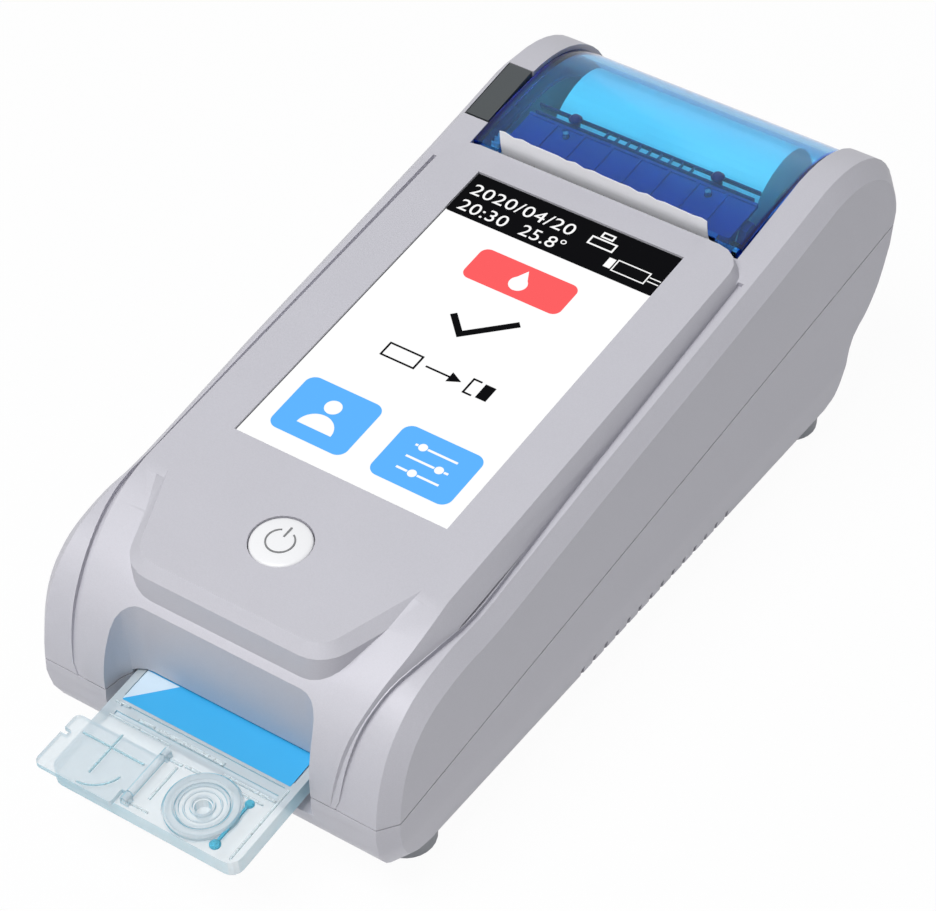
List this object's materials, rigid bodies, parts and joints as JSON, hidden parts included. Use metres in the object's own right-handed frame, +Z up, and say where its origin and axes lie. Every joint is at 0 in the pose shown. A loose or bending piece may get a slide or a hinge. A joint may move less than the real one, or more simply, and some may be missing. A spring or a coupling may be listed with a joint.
{
  "type": "portable blood gas analyzer",
  "caption": "Handheld-size bench analyzer with a sloping touch screen deck, a sensor card slot at the nose and a strip printer under a translucent hinged cover.",
  "frame": {"origin": "centre of the footprint box, on the plane of the four feet", "axes": "+Z up, +Y from the card slot towards the printer, +X to the right seen from the card slot"},
  "size_m": [0.0966, 0.2478, 0.0871],
  "materials": {
    "silver": "fine silver paint-like moulding",
    "dark_grey": "satin",
    "button_white": "satin",
    "glass_black": "gloss",
    "display_grey": "satin",
    "board_green": "solder resist",
    "clear_aqua": "clear",
    "label_blue": "satin print",
    "cover_blue": "translucent",
    "frame_blue": "satin",
    "paper_white": "matte",
    "rubber_black": "matte",
    "rubber_grey": "matte",
    "steel": "bright",
    "aluminium": "satin",
    "gear_white": "natural",
    "black_plastic": "satin",
    "ceramic": "glazed",
    "battery_wrap": "shrink wrap"
  },
  "bodies": {
    "case": {"battery_door": "silver", "battery_pack": "battery_wrap", "board_screw_1": "steel", "board_screw_2": "steel", "board_screw_3": "steel", "board_screw_4": "steel", "board_screw_5": "steel", "board_screw_6": "steel", "card_guide": "black_plastic", "case_screw_1": "steel", "case_screw_2": "steel", "case_screw_3": "steel", "case_screw_4": "steel", "contact_block": "black_plastic", "cover_hinge_pin": "steel", "display_module": "display_grey", "door_screw": "steel", "feed_motor": "steel", "foot_front_left": "rubber_grey", "foot_front_right": "rubber_grey", "foot_rear_left": "rubber_grey", "foot_rear_right": "rubber_grey", "head_plate": "aluminium", "head_spring_left": "steel", "head_spring_right": "steel", "heater_block": "aluminium", "idler_shaft": "steel", "key_board": "board_green", "lever_pin": "steel", "lower_case": "silver", "main_board": "board_green", "paper_strip": "paper_white", "power_jack": "black_plastic", "printer_frame": "frame_blue", "switch_base": "black_plastic", "tear_bar": "steel", "thermal_head": "ceramic", "touch_glass": "glass_black", "upper_cover": "silver"},
    "cover": {"printer_cover": "cover_blue", "platen_bracket": "dark_grey", "bracket_screw_left": "steel", "bracket_screw_right": "steel", "platen_bushing_left": "black_plastic", "platen_bushing_right": "black_plastic"},
    "platen": {"platen_roller": "rubber_black", "platen_shaft": "steel", "platen_gear": "gear_white"},
    "idler": {"idler_gear": "gear_white"},
    "pinion": {"motor_pinion": "gear_white", "motor_shaft": "steel"},
    "lever": {"release_lever": "dark_grey"},
    "button": {"power_button": "button_white", "switch_plunger": "black_plastic"},
    "card": {"sensor_card": "clear_aqua", "card_label": "label_blue", "port_seal": "clear_aqua"},
    "cap": {"card_cap": "clear_aqua"},
    "roll": {"paper_roll": "paper_white", "roll_core": "gear_white"}
  },
  "joints": [
    {"name": "cover_hinge", "type": "hinge", "parent": "case", "child": "cover", "pos_m": [0, 0.11725, 0.06332], "axis": [-1, 0, 0], "range_deg": [0, 100]},
    {"name": "platen_spin", "type": "hinge", "parent": "cover", "child": "platen", "pos_m": [0, 0.06654, 0.07166], "axis": [1, 0, 0], "continuous": true},
    {"name": "idler_spin", "type": "hinge", "parent": "case", "child": "idler", "pos_m": [0, 0.06349, 0.06005], "axis": [1, 0, 0], "continuous": true},
    {"name": "pinion_spin", "type": "hinge", "parent": "case", "child": "pinion", "pos_m": [0, 0.06901, 0.05171], "axis": [1, 0, 0], "continuous": true},
    {"name": "roll_spin", "type": "hinge", "parent": "case", "child": "roll", "pos_m": [0, 0.09501, 0.06389], "axis": [1, 0, 0], "continuous": true},
    {"name": "lever_press", "type": "hinge", "parent": "case", "child": "lever", "pos_m": [-0.041, 0.08312, 0.07855], "axis": [1, 0, 0], "range_deg": [0, 5], "stiffness_Nm_per_rad": 0.02},
    {"name": "button_press", "type": "slide", "parent": "case", "child": "button", "axis": [0, 0.1227, -0.9924], "range_m": [0, 0.0007], "stiffness_N_per_m": 300},
    {"name": "card_slide", "type": "slide", "parent": "case", "child": "card", "axis": [0, -0.9924, -0.1227], "range_m": [0, 0.025]},
    {"name": "cap_hinge", "type": "hinge", "parent": "card", "child": "cap", "pos_m": [-0.0046, -0.11617, 0.0275], "axis": [0, 0.9924, 0.1227], "range_deg": [0, 178]}
  ],
  "couplings": [
    {"joint": "idler_spin", "follows": "platen_spin", "ratio": -0.71429},
    {"joint": "pinion_spin", "follows": "platen_spin", "ratio": 1.6667}
  ]
}
